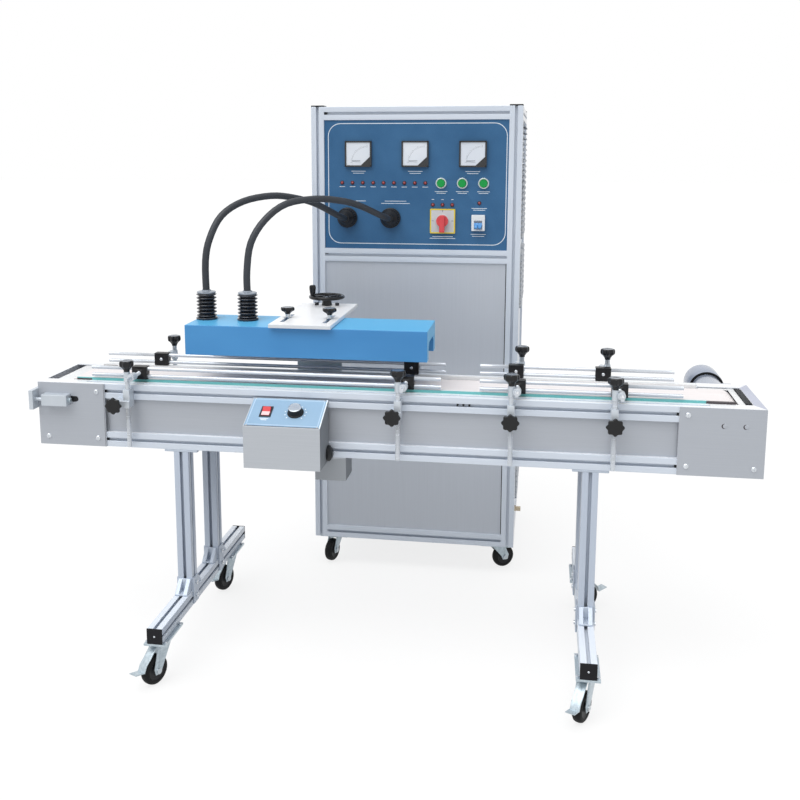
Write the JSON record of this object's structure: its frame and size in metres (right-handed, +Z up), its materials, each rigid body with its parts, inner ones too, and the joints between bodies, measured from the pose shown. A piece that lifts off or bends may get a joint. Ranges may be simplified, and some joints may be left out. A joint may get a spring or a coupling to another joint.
{
  "type": "induction cap sealer",
  "caption": "Belt conveyor with an induction sealing head on a hand-wheel lift plate, adjustable guide rails and a control cabinet on casters feeding the head through hoses.",
  "frame": {"origin": "floor level, in the middle of the overall box", "axes": "+X along the belt towards the drive end, +Y from the operator's side towards the cabinet, +Z up"},
  "size_m": [1.872, 1.4658, 1.465],
  "materials": {
    "profile_aluminium": "satin anodised",
    "stainless_sheet": "fine brushed",
    "teal_strip": "low friction plastic",
    "belt": "matt woven belt cover",
    "drive_rubber": "lagged roller",
    "roller_steel": "turned steel",
    "motor_grey": "smooth grey paint",
    "zinc_steel": "bright zinc plating",
    "bright_aluminium": "machined",
    "polished_rod": "polished",
    "plate_silver": "milky satin",
    "panel_blue": "satin blue paint",
    "head_blue": "satin light blue paint",
    "black_plastic": "moulded",
    "tyre_rubber": "matt",
    "hose_black": "smooth hose",
    "bellows_black": "ribbed moulding",
    "pale_plastic": "moulded",
    "lamp_red": "tinted lens",
    "switch_red": "moulded",
    "toggle_blue": "moulded",
    "button_green": "moulded",
    "brass_fitting": "turned",
    "coil_copper": "wound copper",
    "unit_grey": "plain"
  },
  "bodies": {
    "frame": {"conveyor_frame": "profile_aluminium", "side_panels": "stainless_sheet", "slider_bed": "stainless_sheet", "wear_strips": "teal_strip", "conveyor_belt": "belt", "end_plates": "stainless_sheet", "belt_tensioners": "stainless_sheet", "gear_motor": "motor_grey", "speed_box": "stainless_sheet", "stand_brackets": "zinc_steel", "end_caps": "black_plastic", "caster_plates": "zinc_steel", "lift_block": "bright_aluminium", "guide_brackets": "bright_aluminium", "guide_knobs": "black_plastic", "cabinet_frame": "profile_aluminium", "cabinet_panels": "stainless_sheet", "control_panel": "panel_blue", "panel_meters": "black_plastic", "pilot_lamps": "lamp_red", "switch_bases": "pale_plastic", "glands": "black_plastic", "water_fittings": "brass_fitting", "hose_a": "hose_black", "hose_b": "hose_black", "power_unit": "unit_grey"},
    "caster_fl": {"fork_fl": "zinc_steel"},
    "roll_fl": {"wheel_fl": "tyre_rubber"},
    "caster_fr": {"fork_fr": "zinc_steel"},
    "roll_fr": {"wheel_fr": "tyre_rubber"},
    "caster_rl": {"fork_rl": "zinc_steel"},
    "roll_rl": {"wheel_rl": "tyre_rubber"},
    "caster_rr": {"fork_rr": "zinc_steel"},
    "roll_rr": {"wheel_rr": "tyre_rubber"},
    "caster_cab_l": {"cab_fork_l": "zinc_steel"},
    "roll_cab_l": {"cab_wheel_fl": "tyre_rubber"},
    "caster_cab_r": {"cab_fork_r": "zinc_steel"},
    "roll_cab_r": {"cab_wheel_fr": "tyre_rubber"},
    "roll_cab_rl": {"cab_wheel_rl": "tyre_rubber"},
    "roll_cab_rr": {"cab_wheel_rr": "tyre_rubber"},
    "drive": {"drive_roller": "drive_rubber"},
    "tail": {"tail_roller": "roller_steel"},
    "lift_plate": {"head_plate": "plate_silver"},
    "hand_wheel": {"handwheel": "black_plastic"},
    "head": {"sealing_head": "head_blue", "induction_coil": "coil_copper", "bellows": "bellows_black", "head_knobs": "black_plastic"},
    "cam": {"cam_handle": "switch_red"},
    "toggle": {"breaker_toggle": "toggle_blue"},
    "speed": {"speed_knob": "black_plastic"},
    "power_rocker": {"rocker": "switch_red"},
    "push_1": {"button_1": "button_green"},
    "push_2": {"button_2": "button_green"},
    "push_3": {"button_3": "button_green"},
    "rail_fl": {"guide_fl": "polished_rod"},
    "rail_fr": {"guide_fr": "polished_rod"},
    "rail_rl": {"guide_rl": "polished_rod"},
    "rail_rr": {"guide_rr": "polished_rod"}
  },
  "joints": [
    {"name": "swivel_fl", "type": "hinge", "parent": "frame", "child": "caster_fl", "pos_m": [-0.531, -0.63806, 0.06], "axis": [0, 0, 1], "continuous": true},
    {"name": "wheel_fl", "type": "hinge", "parent": "caster_fl", "child": "roll_fl", "pos_m": [-0.54283, -0.66344, 0.038], "axis": [0.9063, -0.4226, 0], "continuous": true},
    {"name": "swivel_fr", "type": "hinge", "parent": "frame", "child": "caster_fr", "pos_m": [0.529, -0.63806, 0.06], "axis": [0, 0, 1], "continuous": true},
    {"name": "wheel_fr", "type": "hinge", "parent": "caster_fr", "child": "roll_fr", "pos_m": [0.51717, -0.66344, 0.038], "axis": [0.9063, -0.4226, 0], "continuous": true},
    {"name": "swivel_rl", "type": "hinge", "parent": "frame", "child": "caster_rl", "pos_m": [-0.531, -0.07806, 0.06], "axis": [0, 0, 1], "continuous": true},
    {"name": "wheel_rl", "type": "hinge", "parent": "caster_rl", "child": "roll_rl", "pos_m": [-0.54058, -0.10438, 0.038], "axis": [0.9397, -0.342, 0], "continuous": true},
    {"name": "swivel_rr", "type": "hinge", "parent": "frame", "child": "caster_rr", "pos_m": [0.529, -0.07806, 0.06], "axis": [0, 0, 1], "continuous": true},
    {"name": "wheel_rr", "type": "hinge", "parent": "caster_rr", "child": "roll_rr", "pos_m": [0.55045, -0.06007, 0.038], "axis": [-0.6428, 0.766, 0], "continuous": true},
    {"name": "swivel_cab_l", "type": "hinge", "parent": "frame", "child": "caster_cab_l", "pos_m": [-0.251, 0.19594, 0.06], "axis": [0, 0, 1], "continuous": true},
    {"name": "wheel_cab_l", "type": "hinge", "parent": "caster_cab_l", "child": "roll_cab_l", "pos_m": [-0.25919, 0.16916, 0.036], "axis": [0.9563, -0.2924, 0], "continuous": true},
    {"name": "swivel_cab_r", "type": "hinge", "parent": "frame", "child": "caster_cab_r", "pos_m": [0.273, 0.19594, 0.06], "axis": [0, 0, 1], "continuous": true},
    {"name": "wheel_cab_r", "type": "hinge", "parent": "caster_cab_r", "child": "roll_cab_r", "pos_m": [0.29648, 0.21119, 0.036], "axis": [-0.5446, 0.8387, 0], "continuous": true},
    {"name": "wheel_cab_rl", "type": "hinge", "parent": "frame", "child": "roll_cab_rl", "pos_m": [-0.251, 0.67994, 0.036], "axis": [1, 0, 0], "continuous": true},
    {"name": "wheel_cab_rr", "type": "hinge", "parent": "frame", "child": "roll_cab_rr", "pos_m": [0.273, 0.67994, 0.036], "axis": [1, 0, 0], "continuous": true},
    {"name": "drive_turn", "type": "hinge", "parent": "frame", "child": "drive", "pos_m": [0.856, -0.33006, 0.678], "axis": [0, 1, 0], "continuous": true},
    {"name": "tail_turn", "type": "hinge", "parent": "frame", "child": "tail", "pos_m": [-0.844, -0.33006, 0.678], "axis": [0, 1, 0], "continuous": true},
    {"name": "head_lift", "type": "slide", "parent": "frame", "child": "lift_plate", "axis": [0, 0, 1], "range_m": [-0.02, 0.1], "deforming": ["hose_a", "hose_b"]},
    {"name": "lift_wheel", "type": "hinge", "parent": "lift_plate", "child": "hand_wheel", "pos_m": [-0.212, -0.09806, 0.9], "axis": [0, 0, 1], "range_deg": [-1201, 6001]},
    {"name": "head_shift", "type": "slide", "parent": "lift_plate", "child": "head", "axis": [0, 1, 0], "range_m": [-0.02, 0.02], "deforming": ["hose_a", "hose_b"]},
    {"name": "cam_turn", "type": "hinge", "parent": "frame", "child": "cam", "pos_m": [0.096, 0.13294, 1.12], "axis": [0, 1, 0], "range_deg": [0, 90]},
    {"name": "breaker_flip", "type": "hinge", "parent": "frame", "child": "toggle", "pos_m": [0.204, 0.13694, 1.109], "axis": [-1, 0, 0], "range_deg": [0, 50]},
    {"name": "speed_turn", "type": "hinge", "parent": "frame", "child": "speed", "pos_m": [-0.205, -0.51465, 0.68689], "axis": [0, -0.4258, 0.9048], "range_deg": [-150, 150]},
    {"name": "rocker_tip", "type": "hinge", "parent": "frame", "child": "power_rocker", "pos_m": [-0.281, -0.50997, 0.67694], "axis": [1, 0, 0], "range_deg": [-16, 0]},
    {"name": "button_1_push", "type": "slide", "parent": "frame", "child": "push_1", "axis": [0, 1, 0], "range_m": [0, 0.004], "stiffness_N_per_m": 300},
    {"name": "button_2_push", "type": "slide", "parent": "frame", "child": "push_2", "axis": [0, 1, 0], "range_m": [0, 0.004], "stiffness_N_per_m": 300},
    {"name": "button_3_push", "type": "slide", "parent": "frame", "child": "push_3", "axis": [0, 1, 0], "range_m": [0, 0.004], "stiffness_N_per_m": 300},
    {"name": "guide_fl_slide", "type": "slide", "parent": "frame", "child": "rail_fl", "axis": [0, 1, 0], "range_m": [-0.015, 0.025]},
    {"name": "guide_fr_slide", "type": "slide", "parent": "frame", "child": "rail_fr", "axis": [0, 1, 0], "range_m": [-0.015, 0.025]},
    {"name": "guide_rl_slide", "type": "slide", "parent": "frame", "child": "rail_rl", "axis": [0, -1, 0], "range_m": [-0.015, 0.025]},
    {"name": "guide_rr_slide", "type": "slide", "parent": "frame", "child": "rail_rr", "axis": [0, -1, 0], "range_m": [-0.015, 0.025]}
  ],
  "couplings": [
    {"joint": "tail_turn", "follows": "drive_turn", "ratio": 1},
    {"joint": "lift_wheel", "follows": "head_lift", "rad_per_m": 1047.2}
  ]
}
